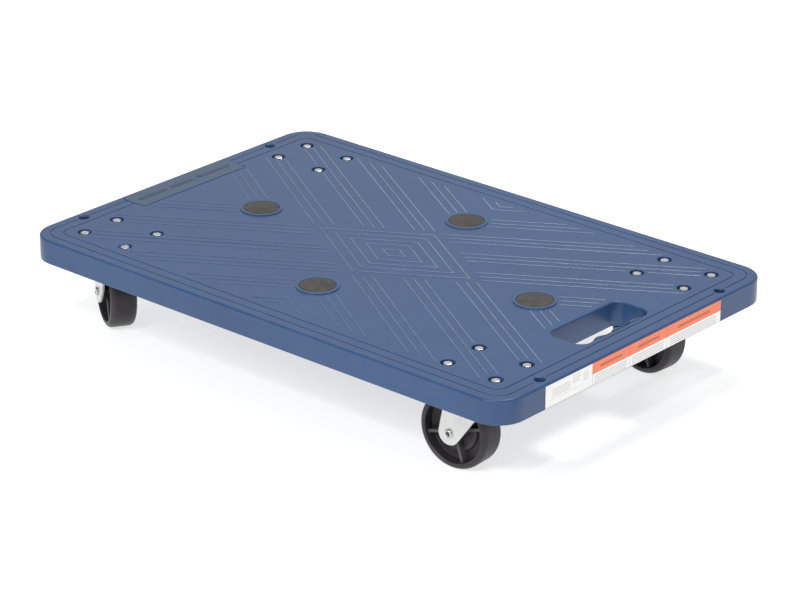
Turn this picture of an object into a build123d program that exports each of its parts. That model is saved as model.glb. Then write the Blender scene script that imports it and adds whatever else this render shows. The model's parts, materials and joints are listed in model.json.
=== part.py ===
from build123d import *
import os
from math import atan, cos, degrees, pi, radians, sin

# Platform dolly: a moulded plastic deck with grip pads, a hand slot and four swivel casters.
# Millimetres. Origin on the floor under the deck's centre, +X towards the hand slot, +Z up.

# ---- Deck ----
deck_length = 610.0
deck_width = 406.0
field_height = 110.0        # walking surface above the floor
skirt_height = 25.0
corner_radius = 30.0
edge_round = 2.0            # top edge of the skirt
skirt_lip_round = 0.8       # bottom edge of the skirt
wall = 3.5                  # skirt thickness
panel = 3.5                 # top panel thickness
rib_thickness = 2.2         # stiffening ribs under the panel
rib_depth = 16.0
rib_cell = 60.0             # widest cell between stiffening ribs

# ---- Border grooves ----
groove_width = 1.0
groove_depth = 0.7
outer_groove_inset = 11.1   # deck edge to the groove's middle
inner_groove_inset = 22.5
outer_groove_corner = 18.0
inner_groove_corner = 11.0

# ---- Tie-down holes ----
tie_hole_radius = 5.0
tie_hole_inset_x = 11.5     # deck edge to the hole's centre
tie_hole_inset_y = 67.0
tie_collar_radius = 8.5

# ---- Hand slot ----
slot_end_inset = 32.5       # deck end to the valleys of the finger grip
slot_opening = 38.5         # along the deck, inner edge to the valleys
slot_width = 106.0
slot_corner = 10.0
slot_wall = 3.0
finger_pitch = 27.0
finger_depth = 3.8
finger_count = 4

# ---- Plaque with plain bars ----
plaque_width = 149.0
plaque_reach = 35.0         # deck end to the plaque's inner edge
plaque_corner = 6.0
plaque_edge_gap = 3.0
relief = 0.4                # height of the plaque and of its bars
plaque_bar_lengths = (46.0, 30.0, 38.0)
plaque_bar_width = 5.0
plaque_bar_gap = 8.0

# ---- Anti-slip ridges ----
ridge_width = 1.1
ridge_height = 0.8
ridge_slope = 0.632         # rise across the deck per run along it
ridge_step = 10.8           # between the ridges of one group, across the deck
ridge_group_step = 54.2     # between groups
ridge_reach_x = 273.0
ridge_reach_y = 170.0
ridge_field_corner = 9.0
centre_clear = 73.0         # half width of the diamond left to the nested rings
ring_half_widths = (61.0, 48.3, 35.7, 23.0)
emblem_half_width = 9.0
ridge_margin = 3.7          # clear of the bolt recesses and pad rings
slot_clear = 7.0            # ridges end short of the hand slot
slot_side_clear = 24.0      # and to each side of it
shortest_ridge = 6.0
plaque_clear = 6.0          # clear of the plaque

# ---- Grip pads ----
pad_radius = 18.25
pad_offset_x = 177.4
pad_offset_y = 110.4
pad_proud = 1.6             # pad crown above the field
pad_sink = 1.5              # pad seat below the field
pad_edge_round = 1.2
pad_clearance = 0.1
pad_ring_width = 3.1
pad_ring_height = 1.0
pad_stem_radius = 4.0
pad_boss_radius = 9.0
pad_boss_depth = 3.0        # boss below the panel
pad_barb_radius = 5.4
pad_barb_height = 2.6
pad_barb_gap = 0.1

# ---- Caster mounting ----
caster_inset_x = 68.8       # deck end to the swivel axis
caster_inset_y = 62.4       # deck side to the swivel axis
bolt_spacing_x = 56.4
bolt_spacing_y = 44.2
bolt_radius = 2.5
bolt_hole_clearance = 0.25
bolt_head_flats = 8.0
bolt_head_height = 3.5
bolt_flange_radius = 5.6
bolt_flange_height = 1.0
bolt_top_chamfer = 0.5
bolt_recess_radius = 7.25
bolt_recess_depth = 4.8
bolt_tail = 2.0             # thread past the nut
nut_height = 4.0
thread_clearance = 0.02
plate_length = 80.0
plate_width = 62.0
plate_thickness = 2.5
plate_corner = 6.0
plate_margin = 4.0          # deck pocket around the plate
boss_drop = 11.5            # panel underside to the plate

# ---- Swivel head ----
ball_radius = 2.5
ball_count = 16
race_radius = 20.0
race_clearance = 0.05
race_bite = 1.0             # ball depth in each race
race_ring_inner = 12.0
race_ring_outer = 25.0
race_ring_drop = 5.5        # plate underside to the ring's lower face
crown_radius = 27.0
crown_thickness = 3.0
king_pin_radius = 5.0
king_pin_clearance = 0.05
king_head_radius = 9.0
king_head_height = 3.5
king_head_gap = 0.3

# ---- Fork and wheel ----
trail = 29.0
wheel_radius = 38.1
wheel_width = 27.0
tread_round = 5.0
rim_inner_radius = 31.5
web_thickness = 6.0
boss_disc_radius = 22.0     # thicker middle of the web
boss_disc_thickness = 9.0
hub_radius = 9.5
hub_gap = 0.3               # hub end to the fork leg
spoke_count = 4
spoke_turn = -17.0          # first spoke, from the trail's direction
spoke_thickness = 2.6
spoke_sink = 3.0            # spoke edge below the rim face
fork_gap = 33.0             # between the two legs
leg_thickness = 2.5
leg_end_radius = 11.7
leg_front_reach = 19.0      # crown end of the leg, ahead of the swivel axis
leg_back_reach = 21.0
leg_knee = (36.5, 61.0)     # bend of the trailing edge: along the trail, above the floor
leg_edge_round = 0.5
sleeve_radius = 5.0
wheel_bore_clearance = 0.05
axle_radius = 3.2
axle_clearance = 0.02
axle_bore_radius = 2.1
axle_lip_radius = 4.1
axle_lip_height = 2.2
axle_lip_round = 0.8

# ---- Stickers on the slot end ----
sticker_thickness = 0.2
sticker_gap = 0.4
sticker_low = 86.0          # lower edge above the floor
sticker_high = 107.8
plain_sticker_span = (-141.8, -73.8)
caution_sticker_ends = (-73.8, -18.2, 38.0, 123.0)

# Rest direction of each caster's trail, degrees from +X. Front is the slot end, left is +Y.
casters = {
    "front_left": (1, 1, 176.0),
    "front_right": (1, -1, 183.6),
    "rear_left": (-1, 1, 165.0),
    "rear_right": (-1, -1, 149.2),
}

# ---- Worked-out places ----
half_length = deck_length / 2
half_width = deck_width / 2
skirt_bottom = field_height - skirt_height
panel_underside = field_height - panel
rib_bottom = panel_underside - rib_depth
caster_x = half_length - caster_inset_x
caster_y = half_width - caster_inset_y
plate_top = panel_underside - boss_drop
plate_underside = plate_top - plate_thickness
race_ring_bottom = plate_underside - race_ring_drop
ball_height = race_ring_bottom + race_bite - ball_radius
crown_top = ball_height - ball_radius + race_bite
crown_bottom = crown_top - crown_thickness
bolt_seat = field_height - bolt_recess_depth
slot_valley_x = half_length - slot_end_inset
slot_inner_x = slot_valley_x - slot_opening
slot_mid_x = (slot_inner_x + slot_valley_x) / 2
slot_peak_x = slot_valley_x + finger_depth
grip_half_width = (finger_count - 1) * finger_pitch / 2
grip_corner = slot_width / 2 - grip_half_width
tie_x = half_length - tie_hole_inset_x
tie_y = half_width - tie_hole_inset_y
plaque_inner_x = plaque_reach - half_length
plaque_outer_x = plaque_edge_gap - half_length
plaque_length = plaque_inner_x - plaque_outer_x
plaque_mid_x = (plaque_outer_x + plaque_inner_x) / 2
pad_seat = field_height - pad_sink
pad_boss_bottom = panel_underside - pad_boss_depth
pad_places = [(pad_offset_x, 0), (-pad_offset_x, 0), (0, pad_offset_y), (0, -pad_offset_y)]
tie_places = [(tie_x, tie_y), (tie_x, -tie_y), (-tie_x, tie_y), (-tie_x, -tie_y)]
ridge_angle = degrees(atan(ridge_slope))
leg_inner = fork_gap / 2
leg_outer = leg_inner + leg_thickness
overlap = 1.0               # how far a cut runs past a face

os.makedirs("parts", exist_ok=True)


def rib_count(span):
    """Ribs that divide a span into cells no wider than rib_cell."""
    return int(span // rib_cell)


def finger_curve_points():
    """Points of one half of the slot's finger grip, from its middle to its last peak."""
    steps = finger_count * 4
    points = []
    for step in range(steps + 1):
        y = grip_half_width * step / steps
        lift = (1 - cos(2 * pi * y / finger_pitch)) / 2
        points.append((slot_valley_x + finger_depth * lift, y))
    return points


# ---- Ridge pattern, seen from above ----
# One quarter's ridges, cut back from the bolts, pad, hand slot, plaque and centre.
with BuildSketch() as quarter_field:
    RectangleRounded(2 * ridge_reach_x, 2 * ridge_reach_y, ridge_field_corner)
    with Locations((half_length / 2, half_width / 2)):
        Rectangle(half_length, half_width, mode=Mode.INTERSECT)
    with Locations((caster_x, caster_y)):
        with GridLocations(bolt_spacing_x, bolt_spacing_y, 2, 2):
            Circle(bolt_recess_radius + ridge_margin, mode=Mode.SUBTRACT)
    with Locations((pad_offset_x, 0), (0, pad_offset_y)):
        Circle(pad_radius + pad_ring_width + ridge_margin, mode=Mode.SUBTRACT)
    with BuildLine():
        Polyline(
            (0, 0),
            (centre_clear / ridge_slope, 0),
            (0, centre_clear),
            close=True,
        )
    make_face(mode=Mode.SUBTRACT)

with BuildSketch() as ridge_lines:
    for group in range(-2, 4):
        for member in (-1, 0, 1):
            rise = group * ridge_group_step + member * ridge_step
            with Locations((half_length / 2, ridge_slope * half_length / 2 + rise)):
                Rectangle(2 * half_length, ridge_width, rotation=ridge_angle)
    add(quarter_field.sketch, mode=Mode.INTERSECT)
    mirror(about=Plane.YZ)
    mirror(about=Plane.XZ)
    with Locations((slot_inner_x + slot_opening, 0)):
        Rectangle(
            2 * (slot_opening + slot_clear), slot_width + 2 * slot_side_clear, mode=Mode.SUBTRACT
        )
    with Locations((-half_length, 0)):
        Rectangle(
            2 * (plaque_reach + plaque_clear), plaque_width + 2 * plaque_clear, mode=Mode.SUBTRACT
        )

with BuildSketch() as ridges:
    add([line for line in ridge_lines.faces() if line.area > shortest_ridge * ridge_width])
    edge = ridge_width / 2 / cos(radians(ridge_angle))
    for half in (*ring_half_widths, emblem_half_width):
        for grow, mode in ((edge, Mode.ADD), (-edge, Mode.SUBTRACT)):
            with BuildLine():
                Polyline(
                    ((half + grow) / ridge_slope, 0),
                    (0, half + grow),
                    (-(half + grow) / ridge_slope, 0),
                    (0, -(half + grow)),
                    close=True,
                )
            make_face(mode=mode)


# ---- Deck ----
with BuildPart() as deck:
    with BuildSketch(Plane.XY.offset(skirt_bottom)):
        RectangleRounded(deck_length, deck_width, corner_radius)
    extrude(amount=skirt_height)
    fillet(deck.faces().sort_by(Axis.Z)[-1].edges(), edge_round)
    fillet(deck.faces().sort_by(Axis.Z)[0].edges(), skirt_lip_round)
    with BuildSketch(Plane.XY.offset(skirt_bottom)):
        RectangleRounded(deck_length - 2 * wall, deck_width - 2 * wall, corner_radius - wall)
    extrude(amount=skirt_height - panel, mode=Mode.SUBTRACT)

    # stiffening ribs under the panel
    inner_length = deck_length - 2 * wall
    inner_width = deck_width - 2 * wall
    ribs_across = rib_count(inner_length)
    ribs_along = rib_count(inner_width)
    with BuildSketch(Plane.XY.offset(rib_bottom)):
        with GridLocations(inner_length / (ribs_across + 1), 0, ribs_across, 1):
            Rectangle(rib_thickness, inner_width + wall)
        with GridLocations(0, inner_width / (ribs_along + 1), 1, ribs_along):
            Rectangle(inner_length + wall, rib_thickness)
    extrude(amount=rib_depth)

    # walled hand slot, with a finger grip along its outer side
    with BuildSketch(Plane.XY.offset(skirt_bottom)):
        with Locations((slot_mid_x + finger_depth / 2, 0)):
            RectangleRounded(
                slot_opening + finger_depth + 2 * slot_wall,
                slot_width + 2 * slot_wall,
                slot_corner + slot_wall,
            )
    extrude(amount=skirt_height - panel)
    with BuildSketch(Plane.XY.offset(skirt_bottom - overlap)):
        with BuildLine():
            corner_y = slot_width / 2 - slot_corner
            Line((slot_inner_x, 0), (slot_inner_x, corner_y))
            CenterArc((slot_inner_x + slot_corner, corner_y), slot_corner, 90, 90)
            Line((slot_inner_x + slot_corner, slot_width / 2), (slot_peak_x - grip_corner, slot_width / 2))
            CenterArc((slot_peak_x - grip_corner, grip_half_width), grip_corner, 0, 90)
            Spline(finger_curve_points(), tangents=((0, 1), (0, 1)))
            mirror(about=Plane.XZ)
        make_face()
    extrude(amount=skirt_height + 2 * overlap, mode=Mode.SUBTRACT)

    # caster bosses, and the room below them for the mounting plates
    with BuildSketch(Plane.XY.offset(plate_top)):
        with GridLocations(2 * caster_x, 2 * caster_y, 2, 2):
            Rectangle(plate_length + 2 * plate_margin, plate_width + 2 * plate_margin)
    extrude(amount=boss_drop)
    with BuildSketch(Plane.XY.offset(skirt_bottom)):
        with GridLocations(2 * caster_x, 2 * caster_y, 2, 2):
            Rectangle(plate_length + 2 * plate_margin, plate_width + 2 * plate_margin)
    extrude(amount=plate_top - skirt_bottom, mode=Mode.SUBTRACT)
    with BuildSketch(Plane.XY.offset(plate_top - overlap)):
        with GridLocations(2 * caster_x, 2 * caster_y, 2, 2):
            with GridLocations(bolt_spacing_x, bolt_spacing_y, 2, 2):
                Circle(bolt_radius + bolt_hole_clearance)
    extrude(amount=bolt_seat - plate_top + 2 * overlap, mode=Mode.SUBTRACT)
    with BuildSketch(Plane.XY.offset(bolt_seat)):
        with GridLocations(2 * caster_x, 2 * caster_y, 2, 2):
            with GridLocations(bolt_spacing_x, bolt_spacing_y, 2, 2):
                Circle(bolt_recess_radius)
    extrude(amount=bolt_recess_depth + overlap, mode=Mode.SUBTRACT)

    # tie-down holes in their bosses
    with BuildSketch(Plane.XY.offset(rib_bottom)):
        with Locations(*tie_places):
            Circle(tie_collar_radius)
    extrude(amount=rib_depth)
    with BuildSketch(Plane.XY.offset(skirt_bottom - overlap)):
        with Locations(*tie_places):
            Circle(tie_hole_radius)
    extrude(amount=skirt_height + 2 * overlap, mode=Mode.SUBTRACT)

    # grip pad rings, bosses, seats and stem holes
    with BuildSketch(Plane.XY.offset(field_height)):
        with Locations(*pad_places):
            Circle(pad_radius + pad_ring_width)
    extrude(amount=pad_ring_height)
    with BuildSketch(Plane.XY.offset(pad_boss_bottom)):
        with Locations(*pad_places):
            Circle(pad_boss_radius)
    extrude(amount=pad_boss_depth)
    with BuildSketch(Plane.XY.offset(rib_bottom)):
        with Locations(*pad_places):
            Circle(pad_boss_radius)
    extrude(amount=pad_boss_bottom - rib_bottom, mode=Mode.SUBTRACT)
    with BuildSketch(Plane.XY.offset(pad_seat)):
        with Locations(*pad_places):
            Circle(pad_radius + pad_clearance)
    extrude(amount=pad_sink + pad_ring_height + overlap, mode=Mode.SUBTRACT)
    with BuildSketch(Plane.XY.offset(pad_boss_bottom - overlap)):
        with Locations(*pad_places):
            Circle(pad_stem_radius + pad_clearance)
    extrude(amount=pad_seat - pad_boss_bottom + 2 * overlap, mode=Mode.SUBTRACT)

    # border grooves, broken around the tie-down holes and the plaque
    with BuildSketch(Plane.XY.offset(field_height - groove_depth)):
        for inset, corner in (
            (outer_groove_inset, outer_groove_corner),
            (inner_groove_inset, inner_groove_corner),
        ):
            length = deck_length - 2 * inset
            width = deck_width - 2 * inset
            RectangleRounded(length + groove_width, width + groove_width, corner + groove_width / 2)
            RectangleRounded(
                length - groove_width,
                width - groove_width,
                corner - groove_width / 2,
                mode=Mode.SUBTRACT,
            )
        with Locations(*tie_places):
            Circle(tie_collar_radius, mode=Mode.SUBTRACT)
        with Locations((-half_length, 0)):
            Rectangle(2 * plaque_reach, plaque_width, mode=Mode.SUBTRACT)
        with Locations((plaque_mid_x, 0)):
            RectangleRounded(
                plaque_length + 2 * groove_width, plaque_width + 2 * groove_width, plaque_corner
            )
            RectangleRounded(plaque_length, plaque_width, plaque_corner, mode=Mode.SUBTRACT)
    extrude(amount=groove_depth + overlap, mode=Mode.SUBTRACT)

    # plaque with plain bars
    with BuildSketch(Plane.XY.offset(field_height)):
        with Locations((plaque_mid_x, 0)):
            RectangleRounded(plaque_length, plaque_width, plaque_corner)
    extrude(amount=relief)
    bars_total = sum(plaque_bar_lengths) + plaque_bar_gap * (len(plaque_bar_lengths) - 1)
    bar_starts = [
        sum(plaque_bar_lengths[:index]) + index * plaque_bar_gap
        for index in range(len(plaque_bar_lengths))
    ]
    with BuildSketch(Plane.XY.offset(field_height + relief)):
        for start, bar_length in zip(bar_starts, plaque_bar_lengths):
            with Locations((plaque_mid_x, bars_total / 2 - start - bar_length / 2)):
                Rectangle(plaque_bar_width, bar_length)
    extrude(amount=relief)

    # anti-slip ridges
    with BuildSketch(Plane.XY.offset(field_height)):
        add(ridges.sketch)
    extrude(amount=ridge_height)
deck.part.label = "deck"
export_step(deck.part, "parts/deck.step")

# ---- Grip pads ----
pad_names = ("grip_pad_front", "grip_pad_rear", "grip_pad_left", "grip_pad_right")
with BuildPart() as grip_pad:
    with BuildSketch(Plane.XY.offset(pad_seat)):
        Circle(pad_radius)
    extrude(amount=pad_sink + pad_proud)
    fillet(grip_pad.faces().sort_by(Axis.Z)[-1].edges(), pad_edge_round)
    barb_top = pad_boss_bottom - pad_barb_gap
    with BuildSketch(Plane.XY.offset(barb_top)):
        Circle(pad_stem_radius)
    extrude(amount=pad_seat - barb_top)
    with BuildSketch(Plane.XY.offset(barb_top - pad_barb_height)):
        Circle(pad_barb_radius)
    extrude(amount=pad_barb_height)
    chamfer(grip_pad.faces().sort_by(Axis.Z)[0].edges(), pad_barb_radius - pad_stem_radius)
for pad_name, (x, y) in zip(pad_names, pad_places):
    placed = grip_pad.part.moved(Location((x, y, 0)))
    placed.label = pad_name
    export_step(placed, f"parts/{pad_name}.step")

# ---- Stickers on the slot end ----
sticker_spans = {"plain_sticker": plain_sticker_span}
for index in range(len(caution_sticker_ends) - 1):
    sticker_spans[f"caution_sticker_{index + 1}"] = caution_sticker_ends[index:index + 2]
for sticker_name, (right_end, left_end) in sticker_spans.items():
    with BuildPart() as sticker:
        with BuildSketch(Plane.YZ.offset(half_length)):
            with Locations(((right_end + left_end) / 2, (sticker_low + sticker_high) / 2)):
                Rectangle(left_end - right_end - sticker_gap, sticker_high - sticker_low)
        extrude(amount=sticker_thickness)
    sticker.part.label = sticker_name
    export_step(sticker.part, f"parts/{sticker_name}.step")

# ---- Caster pieces, about the swivel axis, with the trail along +X ----
bolt_places = GridLocations(bolt_spacing_x, bolt_spacing_y, 2, 2).locations

with BuildPart() as mounting_plate:
    with BuildSketch(Plane.XY.offset(plate_underside)):
        RectangleRounded(plate_length, plate_width, plate_corner)
    extrude(amount=plate_thickness)
    with BuildSketch(Plane.XY.offset(race_ring_bottom)):
        Circle(race_ring_outer)
    extrude(amount=race_ring_drop)
    with BuildSketch(Plane.XY.offset(race_ring_bottom)):
        Circle(race_ring_inner)
    extrude(amount=race_ring_drop, mode=Mode.SUBTRACT)
    with BuildSketch(Plane.XZ):
        with Locations((race_radius, ball_height)):
            Circle(ball_radius + race_clearance)
    revolve(axis=Axis.Z, mode=Mode.SUBTRACT)
    with BuildSketch(Plane.XY.offset(race_ring_bottom - overlap)):
        Circle(king_pin_radius + axle_clearance)
        with GridLocations(bolt_spacing_x, bolt_spacing_y, 2, 2):
            Circle(bolt_radius + bolt_hole_clearance)
    extrude(amount=plate_top - race_ring_bottom + 2 * overlap, mode=Mode.SUBTRACT)

with BuildPart() as king_pin:
    king_head_top = crown_bottom - king_head_gap
    with BuildSketch(Plane.XY.offset(king_head_top - king_head_height)):
        Circle(king_head_radius)
    extrude(amount=king_head_height)
    chamfer(king_pin.faces().sort_by(Axis.Z)[0].edges(), king_head_height / 2)
    with BuildSketch(Plane.XY.offset(king_head_top)):
        Circle(king_pin_radius)
    extrude(amount=plate_top - king_head_top)

with BuildPart() as swivel_balls:
    with Locations(Plane.XY.offset(ball_height)):
        with PolarLocations(race_radius, ball_count):
            Sphere(ball_radius)

with BuildPart() as leg:
    with BuildSketch(Plane.XZ.offset(leg_inner)):
        with Locations((trail, wheel_radius)):
            Circle(leg_end_radius)
        with BuildLine():
            Polyline((-leg_front_reach, crown_top), (leg_back_reach, crown_top), leg_knee, close=True)
        make_face()
        make_hull()
    extrude(amount=leg_thickness)
    fillet(leg.faces().sort_by(Axis.Y)[0].edges(), leg_edge_round)
    with BuildSketch(Plane.XZ.offset(leg_inner - overlap)):
        with Locations((trail, wheel_radius)):
            Circle(axle_radius + axle_clearance)
    extrude(amount=leg_thickness + 2 * overlap, mode=Mode.SUBTRACT)

with BuildPart() as fork:
    add(leg.part)
    mirror(about=Plane.XZ)
    with BuildSketch(Plane.XY.offset(crown_bottom)):
        Circle(crown_radius)
    extrude(amount=crown_thickness)
    with BuildSketch(Plane.XZ):
        with Locations((race_radius, ball_height)):
            Circle(ball_radius + race_clearance)
    revolve(axis=Axis.Z, mode=Mode.SUBTRACT)
    with BuildSketch(Plane.XY.offset(crown_bottom - overlap)):
        Circle(king_pin_radius + king_pin_clearance)
    extrude(amount=crown_thickness + 2 * overlap, mode=Mode.SUBTRACT)

with BuildPart() as wheel:
    with BuildSketch(Plane.XZ.offset(-wheel_width / 2)):
        with Locations((trail, wheel_radius)):
            Circle(wheel_radius)
    extrude(amount=wheel_width)
    fillet(wheel.edges().filter_by(GeomType.CIRCLE), tread_round)
    for side in (1, -1):
        with BuildSketch(Plane.XZ.offset(side * web_thickness / 2)):
            with Locations((trail, wheel_radius)):
                Circle(rim_inner_radius)
        extrude(amount=side * wheel_width / 2, mode=Mode.SUBTRACT)
    with BuildSketch(Plane.XZ.offset(-boss_disc_thickness / 2)):
        with Locations((trail, wheel_radius)):
            Circle(boss_disc_radius)
    extrude(amount=boss_disc_thickness)
    with BuildSketch(Plane.XZ.offset(-(wheel_width / 2 - spoke_sink))):
        with Locations((trail, wheel_radius)):
            with PolarLocations(rim_inner_radius / 2, spoke_count, start_angle=spoke_turn):
                Rectangle(rim_inner_radius + overlap, spoke_thickness)
    extrude(amount=wheel_width - 2 * spoke_sink)
    with BuildSketch(Plane.XZ.offset(-(leg_inner - hub_gap))):
        with Locations((trail, wheel_radius)):
            Circle(hub_radius)
    extrude(amount=2 * (leg_inner - hub_gap))
    with BuildSketch(Plane.XZ.offset(-leg_inner)):
        with Locations((trail, wheel_radius)):
            Circle(sleeve_radius + wheel_bore_clearance)
    extrude(amount=fork_gap, mode=Mode.SUBTRACT)

with BuildPart() as axle_sleeve:
    with BuildSketch(Plane.XZ.offset(-leg_inner)):
        with Locations((trail, wheel_radius)):
            Circle(sleeve_radius)
            Circle(axle_radius + axle_clearance, mode=Mode.SUBTRACT)
    extrude(amount=fork_gap)

with BuildPart() as axle_rivet:
    with BuildSketch(Plane.XZ.offset(-leg_outer)):
        with Locations((trail, wheel_radius)):
            Circle(axle_radius)
    extrude(amount=2 * leg_outer)
    for side in (1, -1):
        with BuildSketch(Plane.XZ.offset(side * leg_outer)):
            with Locations((trail, wheel_radius)):
                Circle(axle_lip_radius)
        extrude(amount=side * axle_lip_height)
    fillet(axle_rivet.faces().sort_by(Axis.Y)[0].edges(), axle_lip_round)
    fillet(axle_rivet.faces().sort_by(Axis.Y)[-1].edges(), axle_lip_round)
    with BuildSketch(Plane.XZ.offset(-(leg_outer + axle_lip_height + overlap))):
        with Locations((trail, wheel_radius)):
            Circle(axle_bore_radius)
    extrude(amount=2 * (leg_outer + axle_lip_height + overlap), mode=Mode.SUBTRACT)

nut_bottom = plate_underside - nut_height
with BuildPart() as mount_bolt:
    with BuildSketch(Plane.XY.offset(nut_bottom - bolt_tail)):
        Circle(bolt_radius)
    extrude(amount=bolt_seat - nut_bottom + bolt_tail)
    with BuildSketch(Plane.XY.offset(bolt_seat)):
        Circle(bolt_flange_radius)
    extrude(amount=bolt_flange_height)
    with BuildSketch(Plane.XY.offset(bolt_seat + bolt_flange_height)):
        RegularPolygon(bolt_head_flats / 2, 6, major_radius=False)
    extrude(amount=bolt_head_height)
    chamfer(mount_bolt.faces().sort_by(Axis.Z)[-1].edges(), bolt_top_chamfer)

with BuildPart() as mount_nut:
    with BuildSketch(Plane.XY.offset(nut_bottom)):
        RegularPolygon(bolt_head_flats / 2, 6, major_radius=False)
        Circle(bolt_radius + thread_clearance, mode=Mode.SUBTRACT)
    extrude(amount=nut_height)

with BuildPart() as mount_bolts:
    with Locations(*bolt_places):
        add(mount_bolt.part)

with BuildPart() as mount_nuts:
    with Locations(*bolt_places):
        add(mount_nut.part)

# pieces that turn with the fork, and pieces that stay square to the deck
turning_pieces = {
    "fork": fork,
    "swivel_balls": swivel_balls,
    "axle_sleeve": axle_sleeve,
    "axle_rivet": axle_rivet,
    "wheel": wheel,
}
fixed_pieces = {
    "mounting_plate": mounting_plate,
    "king_pin": king_pin,
    "mount_bolts": mount_bolts,
    "mount_nuts": mount_nuts,
}
for corner_name, (x_side, y_side, rest_angle) in casters.items():
    place = (x_side * caster_x, y_side * caster_y, 0)
    for pieces, angle in ((turning_pieces, rest_angle), (fixed_pieces, 0)):
        for piece_name, piece in pieces.items():
            placed = piece.part.moved(Location(place, (0, 0, angle)))
            placed.label = f"{corner_name}_{piece_name}"
            export_step(placed, f"parts/{placed.label}.step")
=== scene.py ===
import json
from math import cos, hypot, pi, radians, sin

import bmesh
import bpy
from mathutils import Matrix, Vector


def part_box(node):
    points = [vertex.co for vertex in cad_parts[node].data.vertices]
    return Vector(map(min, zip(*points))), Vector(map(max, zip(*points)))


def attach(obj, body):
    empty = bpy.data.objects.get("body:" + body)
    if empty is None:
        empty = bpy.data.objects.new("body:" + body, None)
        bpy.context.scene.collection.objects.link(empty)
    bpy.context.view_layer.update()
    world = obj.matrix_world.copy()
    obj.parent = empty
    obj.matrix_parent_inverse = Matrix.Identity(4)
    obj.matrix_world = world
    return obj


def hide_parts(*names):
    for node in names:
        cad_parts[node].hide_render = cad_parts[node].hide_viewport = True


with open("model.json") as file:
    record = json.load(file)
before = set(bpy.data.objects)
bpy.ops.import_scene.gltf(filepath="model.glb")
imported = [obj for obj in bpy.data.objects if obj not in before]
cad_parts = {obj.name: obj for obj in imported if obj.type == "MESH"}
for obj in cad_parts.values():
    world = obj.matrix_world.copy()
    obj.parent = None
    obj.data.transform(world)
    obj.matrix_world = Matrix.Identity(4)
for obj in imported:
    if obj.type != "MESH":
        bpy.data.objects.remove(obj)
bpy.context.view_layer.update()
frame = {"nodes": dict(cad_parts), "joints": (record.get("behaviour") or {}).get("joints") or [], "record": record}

# The looks of a platform dolly: blue moulded deck, rubber grip pads, stickers and four casters.
# Metres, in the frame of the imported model: floor at z = 0, +X towards the hand slot.

nodes = frame["nodes"]
joints = {joint["name"]: joint for joint in frame["joints"]}
body_of_node = {
    node: body for body, members in frame["record"]["behaviour"]["bodies"].items() for node in members
}
slot_of_node = {row["node"]: row["material_slot"] for row in frame["record"]["subparts"]}
corners = ("front_left", "front_right", "rear_left", "rear_right")
pads = ("grip_pad_front", "grip_pad_rear", "grip_pad_left", "grip_pad_right")
cautions = ("caution_sticker_1", "caution_sticker_2", "caution_sticker_3")

# ---- Sizes ----
millimetre = 0.001
merge_gap = 0.005 * millimetre
cut_gap = 0.0001 * millimetre
height_slack = 0.02 * millimetre
flat_angle = radians(0.5)              # faces this near to level with each other become one
soft_angle = radians(40)               # edges that turn more than this are rounded
up = Vector((0, 0, 1))

tie_holes = next(mount for mount in frame["record"]["mounts"] if mount["name"] == "tie_holes")
tie_hole_x = tie_holes["dims"]["spacing_x_mm"] / 2 * millimetre
tie_hole_y = tie_holes["dims"]["spacing_y_mm"] / 2 * millimetre
tie_hole_reach = tie_holes["dims"]["hole_r_mm"] * millimetre + 0.3 * millimetre
field_height = tie_holes["pos_m"][2]   # deck top
cad_ridge_height = 0.8 * millimetre
ridge_rise = 0.3 * millimetre          # ridges after wear
crest_slack = 0.04 * millimetre
plaque_rise = 0.4 * millimetre
plaque_inner_x = -265.0 * millimetre
plaque_half_width = 77.0 * millimetre
slot_inner_x = 228.0 * millimetre
slot_outer_x = 283.0 * millimetre
slot_half_length = 60.0 * millimetre
rim_round = 1.5 * millimetre
rim_steps = 5
rim_angle = radians(60)                # least turn across an edge of a rim
moulded_edge = 0.4 * millimetre
level_share = 0.9999                   # least upward part of a level face's direction
wide_area = 3e-4                       # square metres

wheel_width = 27.0 * millimetre
wheel_steps = 96
wheel_edge = 0.35 * millimetre
tread_round = 5.0 * millimetre
tread_ring = 0.55                      # share of the tread's half width
rim_inner = 31.5 * millimetre
lip_step = 0.4 * millimetre
lip_land = 0.9 * millimetre
web_half = 3.0 * millimetre
web_corner_start = 1.6 * millimetre
web_corner_end = 0.7 * millimetre
web_corner_rise = 0.5 * millimetre
disc_half = 5.4 * millimetre
disc_radius = 22.0 * millimetre
disc_bevel = 1.0 * millimetre
disc_slope = 0.8 * millimetre
hub_half = 16.2 * millimetre
hub_radius = 9.5 * millimetre
hub_bevel = 0.5 * millimetre
hub_slope = 0.4 * millimetre
wheel_bore = 5.05 * millimetre
spoke_count = 4
spoke_turn = radians(17.0)
spoke_thickness = 3.0 * millimetre
spoke_sink = 3.0 * millimetre
spoke_root = 0.8 * millimetre          # spoke ends sunk into rim and hub

fork_half = 19.0 * millimetre          # outer faces of the legs
crown_thickness = 3.0 * millimetre
crown_bend = 0.2 * millimetre
crease_x = 15.5 * millimetre
crease_width = 4.0 * millimetre
crease_low = 45.0 * millimetre
crease_high = 58.0 * millimetre
crease_step = 1.4 * millimetre
crease_cuts = 5
pressed_edge = 0.3 * millimetre

rivet_half = 21.2 * millimetre
rivet_steps = 48
rivet_shank = 3.2 * millimetre
rivet_bore = 2.1 * millimetre
rivet_lip = 4.1 * millimetre
rivet_mouth = 1.6 * millimetre
rivet_roll = 1.05 * millimetre
rivet_roll_out = 1.35 * millimetre     # bore to the middle of the roll

pad_seat_depth = 3.0 * millimetre
pad_steps = 72
pad_dome = 0.5 * millimetre
pad_rings = (0.2, 0.4, 0.6, 0.78, 0.88)
pad_edge = 1.0 * millimetre
pad_middle = 0.04 * millimetre

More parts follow.
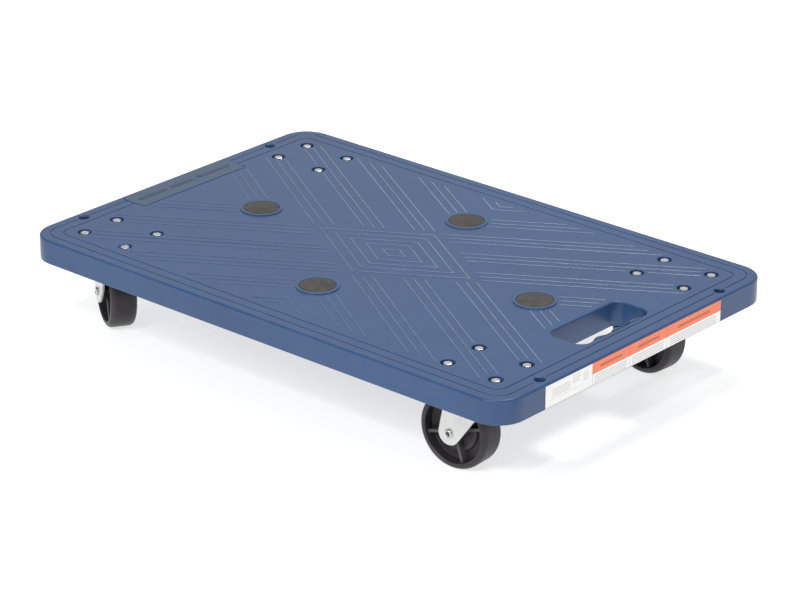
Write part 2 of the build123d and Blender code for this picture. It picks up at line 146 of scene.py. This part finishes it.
row_pitch = 2.1 * millimetre           # printed bars
row_thickness = 0.7 * millimetre
rule_thickness = 0.35 * millimetre
sticker_margin = 1.4 * millimetre
band_margin = 1.2 * millimetre
heading_low = 3.8 * millimetre
heading_high = 6.4 * millimetre

floor_size = 12.0
floor_glow = 0.68
room_brightness = 0.44
softboxes = (                          # name, place, width in metres, power in watts
    ("overhead_softbox", (0.25, 0.35, 1.7), 0.4, 15.0),
    ("backdrop_glow", (-1.9, 2.1, 1.1), 1.8, 3.0),
    ("camera_side_softbox", (0.3, -2.4, 1.9), 0.6, 24.0),
    ("corner_glint", (1.35, -2.25, 2.3), 0.22, 30.0),
)
lens_length = 152.96                   # millimetres, on a 36 mm wide sensor
sensor_width = 36.0
camera_place = (2.0206, -2.3116, 1.3793)
camera_turn = (66.746, -0.230, 41.138)
camera_reach = 60.0

# ---- Colours ----
white = (1.0, 1.0, 1.0, 1)
floor_grey = (0.55, 0.55, 0.55, 1)
deck_deep = (0.022, 0.060, 0.158, 1)
deck_mid = (0.030, 0.076, 0.186, 1)
deck_scuffed = (0.075, 0.120, 0.22, 1)
# pale blue of the ridge crests: rubbed plastic and a painted highlight
deck_crest_rub_and_highlight = (0.27, 0.33, 0.41, 1)
plaque_plate = (0.056, 0.092, 0.155, 1)
plaque_bars = (0.022, 0.045, 0.095, 1)
rubber_clean = (0.034, 0.032, 0.029, 1)
rubber_dusty = (0.076, 0.071, 0.063, 1)
wheel_clean = (0.024, 0.021, 0.024, 1)
wheel_dusty = (0.042, 0.037, 0.042, 1)
# grey of the outward edges: rubbed plastic and a painted highlight
wheel_edge_wear_and_highlight = (0.12, 0.115, 0.12, 1)
steel_dull = (0.55, 0.55, 0.55, 1)
steel_bright = (0.72, 0.72, 0.73, 1)
sticker_paper = (0.90, 0.90, 0.89, 1)
sticker_orange = (0.86, 0.190, 0.085, 1)
sticker_orange_pale = (0.93, 0.240, 0.115, 1)
print_grey = (0.30, 0.30, 0.31, 1)
print_dark_red = (0.30, 0.045, 0.02, 1)


# ---- Shader maths ----
class Value:
    """One shader socket. Arithmetic on it adds Math nodes."""

    def __init__(self, finish, socket):
        self.finish = finish
        self.socket = socket

    def math(self, operation, first, second=0.0):
        return self.finish.node("ShaderNodeMath", {"operation": operation}, {0: first, 1: second})

    def __add__(self, other):
        return self.math("ADD", self, other)

    def __sub__(self, other):
        return self.math("SUBTRACT", self, other)

    def __rsub__(self, other):
        return self.math("SUBTRACT", other, self)

    def __mul__(self, other):
        return self.math("MULTIPLY", self, other)

    def __gt__(self, other):
        return self.math("GREATER_THAN", self, other)

    def __lt__(self, other):
        return self.math("LESS_THAN", self, other)

    def __mod__(self, other):
        return self.math("FLOORED_MODULO", self, other)

    __radd__ = __add__
    __rmul__ = __mul__

    def between(self, low, high):
        return (self > low) * (self < high)


class Finish:
    """A material under construction: its nodes, and the Principled shader that they feed."""

    def __init__(self, name, metallic=0.0, specular=0.5):
        self.material = bpy.data.materials.new(name)
        self.material.use_nodes = True
        self.tree = self.material.node_tree
        self.shader = self.tree.nodes["Principled BSDF"]
        self.shader.inputs["Metallic"].default_value = metallic
        self.shader.inputs["Specular IOR Level"].default_value = specular
        self.place = self.node("ShaderNodeTexCoord", output="Object")

    def node(self, kind, settings=None, inputs=None, output=0):
        """Adds a node. Settings come first, then the values or links of its sockets."""
        made = self.tree.nodes.new(kind)
        for setting, choice in (settings or {}).items():
            setattr(made, setting, choice)
        for socket, given in (inputs or {}).items():
            self.feed(made.inputs[socket], given)
        return Value(self, made.outputs[output])

    def feed(self, socket, given):
        """Links a value to a socket, or writes a plain number or colour into it."""
        if isinstance(given, Value):
            self.tree.links.new(given.socket, socket)
        else:
            socket.default_value = given

    def set(self, socket, given):
        """Feeds a socket of the material's own shader."""
        self.feed(self.shader.inputs[socket], given)

    def axis(self, letter):
        """One coordinate of the place on the object, in metres."""
        return self.node("ShaderNodeSeparateXYZ", inputs={"Vector": self.place}, output=letter)

    def stretched(self, scale, turn=(0.0, 0.0, 0.0)):
        """The place, scaled along each axis and turned, for patterns that run one way."""
        return self.node(
            "ShaderNodeMapping", inputs={"Vector": self.place, "Scale": scale, "Rotation": turn}
        )

    def noise(self, scale, detail=3.0, roughness=0.5, place=None):
        return self.node(
            "ShaderNodeTexNoise",
            inputs={
                "Vector": place or self.place, "Scale": scale, "Detail": detail, "Roughness": roughness
            },
        )

    def cells(self, scale, place=None, feature="F1"):
        """A pattern of cells, as the distance to a cell's middle or edge."""
        return self.node(
            "ShaderNodeTexVoronoi", {"feature": feature}, {"Vector": place or self.place, "Scale": scale},
            "Distance",
        )

    def ramp(self, value, low, high, start=0.0, end=1.0):
        """Value rescaled so that low becomes start and high becomes end, held at both."""
        return self.node(
            "ShaderNodeMapRange",
            {"clamp": True},
            {"Value": value, "From Min": low, "From Max": high, "To Min": start, "To Max": end},
        )

    def mix(self, share, first, second):
        """Two colours blended: first where share is 0, second where it is 1."""
        sockets = {0: share, 6: first, 7: second}
        return self.node("ShaderNodeMix", {"data_type": "RGBA"}, sockets, 2)

    def outward_edges(self, low, high):
        """A mask of the outward edges, painted paler both as wear and as a painted highlight."""
        return self.ramp(self.node("ShaderNodeNewGeometry", output="Pointiness"), low, high)

    def bump(self, height, depth, edge_round=0.0):
        """A surface relief of that depth in metres, over edges rounded to a radius if one is given."""
        relief = {"Height": height, "Distance": depth}
        if edge_round:
            relief["Normal"] = self.node("ShaderNodeBevel", {"samples": 8}, {"Radius": edge_round})
        self.set("Normal", self.node("ShaderNodeBump", inputs=relief))


# ---- Finishes ----
def scratches(finish, scale, turn, width=0.02):
    """A mask of thin, straight scuff marks that run one way."""
    place = finish.stretched((scale, scale * 0.06, scale), (0.0, 0.0, turn))
    edge = finish.cells(1.0, place, "DISTANCE_TO_EDGE")
    patches = finish.noise(9.0, 2.0)
    return finish.ramp(edge, 0.0, width, 1.0, 0.0) * finish.ramp(patches, 0.55, 0.7)


def deck_plastic():
    """Blue moulded polypropylene: satin, finely grained, lightly scuffed; ridge crests painted paler, partly as
    wear and partly as a painted highlight that is strongest towards +X and +Y.
    """
    finish = Finish("deck_blue_plastic", specular=0.42)
    clouds = finish.noise(7.0, 4.0, 0.6)
    flow = finish.noise(55.0, 4.0, 0.6)
    marks = scratches(finish, 90.0, 0.5) + scratches(finish, 70.0, -0.9)
    colour = finish.mix(finish.ramp(clouds * 0.7 + flow * 0.3, 0.35, 0.65), deck_deep, deck_mid)
    colour = finish.mix(finish.ramp(marks, 0.0, 1.0, 0.0, 0.30), colour, deck_scuffed)
    rise = finish.axis("Z") - field_height
    crest = rise.between(0.5 * ridge_rise, ridge_rise + crest_slack)
    # Ridge crests painted paler: part wear, part painted highlight, and the painted highlight is stronger towards
    # +X and +Y
    toward_painted_highlight = finish.axis("X") + finish.axis("Y") * 2.0
    wear_and_highlight = finish.ramp(toward_painted_highlight, -0.25, 0.28, 0.22, 1.0) * finish.ramp(flow, 0.30, 0.55, 0.6, 1.0)
    colour = finish.mix(crest * wear_and_highlight * 0.8, colour, deck_crest_rub_and_highlight)
    plaque = (rise > ridge_rise + crest_slack) * (finish.axis("X") < plaque_inner_x)
    colour = finish.mix(plaque, colour, plaque_plate)
    colour = finish.mix(plaque * (rise > 1.5 * plaque_rise) * 0.7, colour, plaque_bars)
    finish.set("Base Color", colour)
    rough = finish.ramp(clouds, 0.3, 0.7, 0.25, 0.31) + flow * 0.05 + marks * 0.10 + plaque * 0.12
    finish.set("Roughness", rough)
    grain = finish.noise(2600.0, 2.0) * 0.5 + finish.noise(600.0, 2.0) * 0.5
    finish.bump(grain - marks * 0.1, 0.05 * millimetre, moulded_edge)
    return finish.material


def pad_rubber():
    """Dark grey-brown rubber, matte, with a fine grain and pale dust."""
    finish = Finish("pad_rubber", specular=0.35)
    dust = finish.noise(140.0, 5.0, 0.65)
    patches = finish.noise(35.0, 3.0)
    dusted = finish.ramp(dust * 0.5 + patches * 0.5, 0.38, 0.68)
    finish.set("Base Color", finish.mix(dusted, rubber_clean, rubber_dusty))
    finish.set("Roughness", finish.ramp(patches, 0.3, 0.7, 0.46, 0.62))
    finish.bump(finish.noise(1800.0, 3.0), 0.12 * millimetre)
    return finish.material


def zinc_plate(name, bright=0.0):
    """Zinc-plated steel: pale grey, softly mottled, with drawn streaks."""
    finish = Finish(name, metallic=0.85)
    spangle = finish.cells(260.0, feature="SMOOTH_F1")
    mottle = finish.noise(90.0, 4.0, 0.6)
    streaks = finish.noise(1.0, 3.0, 0.6, finish.stretched((900.0, 900.0, 60.0)))
    tone = finish.ramp(mottle * 0.6 + spangle * 0.2 + streaks * 0.2, 0.3, 0.65)
    low, high = 0.60 - 0.10 * bright, 0.72 + 0.02 * bright
    finish.set("Base Color", finish.mix(tone, (low, low * 1.02, low, 1), (high, high * 1.02, high, 1)))
    start = 0.38 - 0.16 * bright
    finish.set("Roughness", finish.ramp(mottle * 0.5 + streaks * 0.5, 0.3, 0.7, start, start + 0.10))
    finish.bump(streaks * 0.5 + spangle * 0.5, 0.03 * millimetre)
    return finish.material


def wheel_plastic():
    """Near-black moulded plastic, semi-gloss, dusty, painted grey along its edges, partly as wear and partly as a
    painted highlight.
    """
    finish = Finish("wheel_black_plastic", specular=0.28)
    haze = finish.noise(45.0, 4.0, 0.6)
    specks = finish.noise(420.0, 3.0, 0.6)
    colour = finish.mix(finish.ramp(haze * 0.6 + specks * 0.4, 0.38, 0.66), wheel_clean, wheel_dusty)
    # Outward edges painted paler: part wear, part painted highlight on the rim lip and tread shoulder
    wear_and_highlight = finish.outward_edges(0.51, 0.56) * finish.ramp(haze, 0.3, 0.6, 0.3, 0.8)
    colour = finish.mix(wear_and_highlight, colour, wheel_edge_wear_and_highlight)
    finish.set("Base Color", colour)
    finish.set("Roughness", finish.ramp(haze, 0.3, 0.7, 0.32, 0.46))
    finish.bump(specks, 0.05 * millimetre)
    return finish.material


def bearing_steel():
    """Polished bearing steel with a thin film of grease."""
    finish = Finish("bearing_steel", metallic=1.0)
    film = finish.noise(500.0, 3.0)
    finish.set("Base Color", finish.mix(film, steel_dull, steel_bright))
    finish.set("Roughness", finish.ramp(film, 0.3, 0.7, 0.12, 0.26))
    return finish.material


def sticker_base(name):
    """Smooth coated paper, still without its printing."""
    finish = Finish(name)
    finish.set("Roughness", finish.ramp(finish.noise(160.0, 3.0), 0.3, 0.7, 0.32, 0.44))
    finish.bump(finish.noise(900.0, 3.0), 0.04 * millimetre)
    return finish


def printed_rows(finish, low, high, left, right):
    """A mask of plain bars in rows, between two heights and two places across the deck."""
    height = finish.axis("Z")
    rows = ((height - low) % row_pitch) < row_thickness
    return rows * height.between(low, high) * finish.axis("Y").between(left, right)


def plain_sticker():
    """White sticker with blocks of plain grey bars above a long thin rule."""
    low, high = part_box("plain_sticker")
    finish = sticker_base("white_sticker")
    width, tall = high.y - low.y, high.z - low.z
    # left, right, bottom and top of each block, as shares of the sticker
    blocks = ((0.14, 0.52, 0.40, 0.78), (0.58, 0.74, 0.56, 0.90), (0.80, 0.92, 0.44, 0.84))
    rule_height = low.z + 0.28 * tall
    rule_span = finish.axis("Y").between(low.y + 0.05 * width, low.y + 0.82 * width)
    mask = finish.axis("Z").between(rule_height, rule_height + rule_thickness) * rule_span
    for left, right, bottom, top in blocks:
        mask = mask + printed_rows(
            finish, low.z + bottom * tall, low.z + top * tall, low.y + left * width, low.y + right * width
        )
    finish.set("Base Color", finish.mix(mask * 0.62, sticker_paper, print_grey))
    return finish.material


def caution_sticker(node):
    """White sticker with an orange band along its top and plain bars below it."""
    low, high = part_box(node)
    finish = sticker_base("orange_" + node)
    height, across = finish.axis("Z"), finish.axis("Y")
    width, centre = high.y - low.y, (low.y + high.y) / 2
    band_low = high.z - 0.50 * (high.z - low.z)
    orange = finish.mix(finish.noise(60.0, 4.0), sticker_orange, sticker_orange_pale)
    colour = finish.mix(height > band_low, sticker_paper, orange)
    heading = height.between(band_low + heading_low, band_low + heading_high)
    heading = heading * across.between(centre - 0.30 * width, centre + 0.30 * width)
    colour = finish.mix(heading * 0.6, colour, print_dark_red)
    rows = printed_rows(
        finish, low.z + sticker_margin, band_low - band_margin, low.y + 0.06 * width, high.y - 0.08 * width
    )
    finish.set("Base Color", finish.mix(rows * 0.7, colour, print_grey))
    return finish.material


finishes = {
    "deck_plastic": deck_plastic(),
    "pad_rubber": pad_rubber(),
    "label_white": plain_sticker(),
    "zinc_steel": zinc_plate("zinc_plate"),
    "bolt_steel": zinc_plate("bright_zinc_plate", bright=1.0),
    "ball_steel": bearing_steel(),
    "wheel_plastic": wheel_plastic(),
}


# ---- Pieces ----
def add_piece(bm, name, node, smooth_angle=35.0):
    """Makes an object of a bmesh, in the place and with the finish of the CAD node it stands for."""
    mesh = bpy.data.meshes.new(name)
    bm.to_mesh(mesh)
    bm.free()
    mesh.shade_smooth()
    mesh.set_sharp_from_angle(angle=radians(smooth_angle))
    piece = bpy.data.objects.new(name, mesh)
    bpy.context.scene.collection.objects.link(piece)
    mesh.materials.append(finishes[slot_of_node[node]])
    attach(piece, body_of_node[node])
    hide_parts(node)
    return piece


def soften(piece, width):
    """Rounds a piece's sharp edges."""
    bevel = piece.modifiers.new("rounded_edges", "BEVEL")
    bevel.width = width
    bevel.segments = 2
    bevel.limit_method = "ANGLE"
    bevel.angle_limit = soft_angle
    bevel.harden_normals = True


def merged_mesh(node):
    """A CAD node's mesh with its loose triangles joined and its flat faces made whole."""
    bm = bmesh.new()
    bm.from_mesh(nodes[node].data)
    bmesh.ops.remove_doubles(bm, verts=bm.verts, dist=merge_gap)
    bmesh.ops.dissolve_limit(bm, angle_limit=flat_angle, verts=bm.verts, edges=bm.edges)
    return bm


def slice_mesh(bm, point, normal):
    """Adds edges where a plane crosses the mesh."""
    everything = bm.verts[:] + bm.edges[:] + bm.faces[:]
    bmesh.ops.bisect_plane(bm, geom=everything, plane_co=point, plane_no=normal, dist=cut_gap)


def ease(value):
    """Smooth step from 0 to 1."""
    value = min(max(value, 0.0), 1.0)
    return value * value * (3 - 2 * value)


def on_rim(edge):
    """Whether an edge lies on the top rim of the hand slot or of a tie-down hole."""
    ends = [vert.co for vert in edge.verts]
    level = all(abs(co.z - field_height) < height_slack for co in ends)
    by_slot = all(slot_inner_x < co.x < slot_outer_x and abs(co.y) < slot_half_length for co in ends)
    by_hole = all(
        hypot(abs(co.x) - tie_hole_x, abs(co.y) - tie_hole_y) < tie_hole_reach for co in ends
    )
    return level and (by_slot or by_hole) and edge.calc_face_angle(0.0) > rim_angle


def keep_faces_flat(mesh):
    """Shades level faces and other wide ones by their own direction, beside the rounded edges."""
    normals = [loop.vector.copy() for loop in mesh.corner_normals]
    for face in mesh.polygons:
        if face.normal.z > level_share or face.area > wide_area:
            for loop in face.loop_indices:
                normals[loop] = face.normal.copy()
    mesh.normals_split_custom_set(normals)


def deck_moulding():
    """The deck: ridges worn low, the rims of its slot and tie-down holes rounded, flat faces kept flat."""
    bm = merged_mesh("deck")
    for vert in bm.verts:
        on_plaque = vert.co.x < plaque_inner_x and abs(vert.co.y) < plaque_half_width
        on_ridge = abs(vert.co.z - field_height - cad_ridge_height) < height_slack
        if on_ridge and not on_plaque:
            vert.co.z = field_height + ridge_rise
    rim = [edge for edge in bm.edges if on_rim(edge)]
    rim_verts = list(dict.fromkeys(vert for edge in rim for vert in edge.verts))
    bmesh.ops.bevel(
        bm, geom=rim_verts + rim, affect="EDGES", offset=rim_round, offset_type="OFFSET",
        segments=rim_steps, profile=0.5, material=-1, clamp_overlap=False,
    )
    keep_faces_flat(add_piece(bm, "deck_moulding", "deck").data)


def fork_pressing(corner):
    """The fork, with the leading half of each leg pressed outwards along a soft crease."""
    node = f"{corner}_fork"
    bm = merged_mesh(node)
    swivel = Vector(joints[f"{corner}_swivel"]["pos_m"])
    trail = trail_direction(corner)
    sideways = Vector((-trail.y, trail.x, 0))
    for cut in range(crease_cuts):
        share = cut / (crease_cuts - 1)
        slice_mesh(bm, swivel + trail * (crease_x + (share - 0.5) * crease_width), trail)
        slice_mesh(bm, up * (crease_low + (crease_high - crease_low) * share), up)
    leg_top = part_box(node)[1].z - crown_thickness - crown_bend
    for vert in bm.verts:
        if vert.co.z < leg_top:
            offset = vert.co - swivel
            share = ease((crease_x + crease_width / 2 - offset.dot(trail)) / crease_width)
            share *= ease((vert.co.z - crease_low) / (crease_high - crease_low))
            side = 1 if offset.dot(sideways) > 0 else -1
            vert.co += sideways * side * share * crease_step
    soften(add_piece(bm, f"{corner}_fork_pressing", node), pressed_edge)


def hex_bolts(corner):
    """The four mounting bolts of a caster, with soft edges."""
    node = f"{corner}_mount_bolts"
    soften(add_piece(merged_mesh(node), f"{corner}_hex_bolts", node), pressed_edge)


def number_by_place(elements, place):
    """Puts a mesh's elements in the order of their places, so that each run numbers them alike."""
    for index, element in enumerate(sorted(elements, key=place)):
        element.index = index
    elements.sort()


def spun(profile, steps):
    """A closed ring of (radius, height) points, turned about local Z."""
    bm = bmesh.new()
    ring = [bm.verts.new((radius, 0, height)) for radius, height in profile]
    edges = [bm.edges.new((ring[i - 1], ring[i])) for i in range(len(ring))]
    bmesh.ops.spin(
        bm, geom=ring + edges, cent=(0, 0, 0), axis=(0, 0, 1), angle=2 * pi, steps=steps, use_merge=True
    )
    bmesh.ops.remove_doubles(bm, verts=bm.verts, dist=cut_gap)
    bmesh.ops.recalc_face_normals(bm, faces=bm.faces)
    number_by_place(bm.verts, lambda vert: vert.co[:])
    number_by_place(bm.edges, lambda edge: (edge.verts[0].co + edge.verts[1].co)[:])
    number_by_place(bm.faces, lambda face: face.calc_center_median()[:])
    return bm


def arc(centre, radius, start, end, steps):
    """Points of an arc in a profile, angles in degrees from the outward direction."""
    points = []
    for step in range(steps + 1):
        angle = radians(start + (end - start) * step / steps)
        points.append((centre[0] + radius * cos(angle), centre[1] + radius * sin(angle)))
    return points


def mirrored(half):
    """A profile's upper half and its mirror image below, as one closed ring."""
    return half + [(radius, -height) for radius, height in reversed(half)]


def trail_direction(corner):
    """Level direction from a caster's swivel axis to its axle."""
    swivel = joints[f"{corner}_swivel"]["pos_m"]
    axle = joints[f"{corner}_roll"]["pos_m"]
    return Vector((axle[0] - swivel[0], axle[1] - swivel[1], 0)).normalized()


def wheel_frame(corner):
    """A wheel's centre, with local Z along the axle and local X along its first spoke."""
    roll = joints[f"{corner}_roll"]
    axle = Vector(roll["axis"]).normalized()
    spoke = trail_direction(corner) * cos(spoke_turn) - up * sin(spoke_turn)
    turn = Matrix((spoke, axle.cross(spoke), axle)).transposed().to_4x4()
    return Matrix.Translation(Vector(roll["pos_m"])) @ turn


def wheel_moulding(corner):
    """Spoked wheel: rounded tread, thin rim lip, recessed web with a thicker middle, and a hub."""
    node = f"{corner}_wheel"
    low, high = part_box(node)
    radius = (high.z - low.z) / 2
    half = wheel_width / 2
    lip = half - lip_step
    profile = [
        (wheel_bore, hub_half),
        (hub_radius - hub_bevel, hub_half),
        (hub_radius, hub_half - hub_bevel),
        (hub_radius + hub_slope, disc_half),
        (disc_radius - disc_bevel, disc_half),
        (disc_radius, disc_half - disc_slope),
        (disc_radius + disc_slope, web_half),
        (rim_inner - web_corner_start, web_half),
        (rim_inner - web_corner_end, web_half + web_corner_rise),
        (rim_inner, lip - lip_step),
        (rim_inner + lip_step, lip),
        (rim_inner + lip_land, half),
    ]
    profile += arc((radius - tread_round, half - tread_round), tread_round, 88, 4, 9)
    profile.append((radius, half * tread_ring))
    bm = spun(mirrored(profile), wheel_steps)
    spoke_length = rim_inner - hub_radius + 2 * spoke_root
    spoke_size = Vector((spoke_length, spoke_thickness, 2 * (half - spoke_sink)))
    for index in range(spoke_count):
        spoke = bmesh.ops.create_cube(bm, size=1.0)["verts"]
        bmesh.ops.scale(bm, vec=spoke_size, verts=spoke)
        bmesh.ops.translate(bm, vec=((rim_inner + hub_radius) / 2, 0, 0), verts=spoke)
        turn = Matrix.Rotation(2 * pi * index / spoke_count, 3, "Z")
        bmesh.ops.rotate(bm, cent=(0, 0, 0), matrix=turn, verts=spoke)
    bm.transform(wheel_frame(corner))
    soften(add_piece(bm, f"{corner}_wheel_moulding", node), wheel_edge)


def rolled_rivet(corner):
    """Hollow rivet: a tube whose ends are rolled out over the fork's legs."""
    roll_middle = (rivet_bore + rivet_roll_out, rivet_half - rivet_roll)
    half = [(rivet_bore, rivet_half - rivet_mouth)]
    half += arc(roll_middle, rivet_roll, 165, 0, 8)
    half += [(rivet_lip, fork_half), (rivet_shank, fork_half)]
    bm = spun(mirrored(half), rivet_steps)
    bm.transform(wheel_frame(corner))
    add_piece(bm, f"{corner}_rolled_rivet", f"{corner}_axle_rivet", 50.0)


def pad_disc(node):
    """Round rubber pad with a slightly domed top and a soft edge."""
    low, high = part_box(node)
    radius = (high.x - low.x) / 2
    profile = [(pad_middle, 0.0)]
    profile += [(radius * share, -pad_dome * share * share) for share in pad_rings]
    profile += arc((radius - pad_edge, -pad_dome - pad_edge), pad_edge, 90, 0, 6)
    profile += [(radius, -pad_seat_depth), (pad_middle, -pad_seat_depth)]
    bm = spun(profile, pad_steps)
    bm.transform(Matrix.Translation(((low.x + high.x) / 2, (low.y + high.y) / 2, high.z)))
    add_piece(bm, f"{node}_disc", node, 60.0)


deck_moulding()
for corner in corners:
    fork_pressing(corner)
    wheel_moulding(corner)
    rolled_rivet(corner)
    hex_bolts(corner)
for pad in pads:
    pad_disc(pad)

for node, piece in nodes.items():
    if not piece.hide_render:
        finish = caution_sticker(node) if node in cautions else finishes[slot_of_node[node]]
        piece.data.materials.clear()
        piece.data.materials.append(finish)


# ---- Floor, light and camera ----
def studio_floor():
    """A wide sheet of pale paper."""
    bm = bmesh.new()
    bmesh.ops.create_grid(bm, x_segments=1, y_segments=1, size=floor_size)
    mesh = bpy.data.meshes.new("studio_floor")
    bm.to_mesh(mesh)
    bm.free()
    floor = bpy.data.objects.new("studio_floor", mesh)
    bpy.context.scene.collection.objects.link(floor)
    paper = bpy.data.materials.new("studio_paper")
    paper.use_nodes = True
    sockets = paper.node_tree.nodes["Principled BSDF"].inputs
    sockets["Base Color"].default_value = floor_grey
    sockets["Roughness"].default_value = 0.9
    sockets["Emission Color"].default_value = white
    sockets["Emission Strength"].default_value = floor_glow
    mesh.materials.append(paper)


def studio_light():
    """An evenly lit white room with softboxes aimed at the middle of the deck."""
    world = bpy.data.worlds.new("studio_light")
    world.use_nodes = True
    sockets = world.node_tree.nodes["Background"].inputs
    sockets["Color"].default_value = white
    sockets["Strength"].default_value = room_brightness
    bpy.context.scene.world = world
    for name, place, size, power in softboxes:
        light = bpy.data.lights.new(name, "AREA")
        light.shape = "SQUARE"
        light.size = size
        light.energy = power
        lamp = bpy.data.objects.new(name, light)
        lamp.location = place
        lamp.rotation_euler = (-Vector(place)).to_track_quat("-Z", "Y").to_euler()
        bpy.context.scene.collection.objects.link(lamp)


def camera():
    """The camera, above the slot end of the right side."""
    lens = bpy.data.cameras.new("camera")
    lens.lens = lens_length
    lens.sensor_width = sensor_width
    lens.clip_end = camera_reach
    view = bpy.data.objects.new("camera", lens)
    view.location = camera_place
    view.rotation_euler = [radians(angle) for angle in camera_turn]
    bpy.context.scene.collection.objects.link(view)
    bpy.context.scene.camera = view


studio_floor()
studio_light()
camera()
bpy.context.scene.view_settings.view_transform = "Standard"
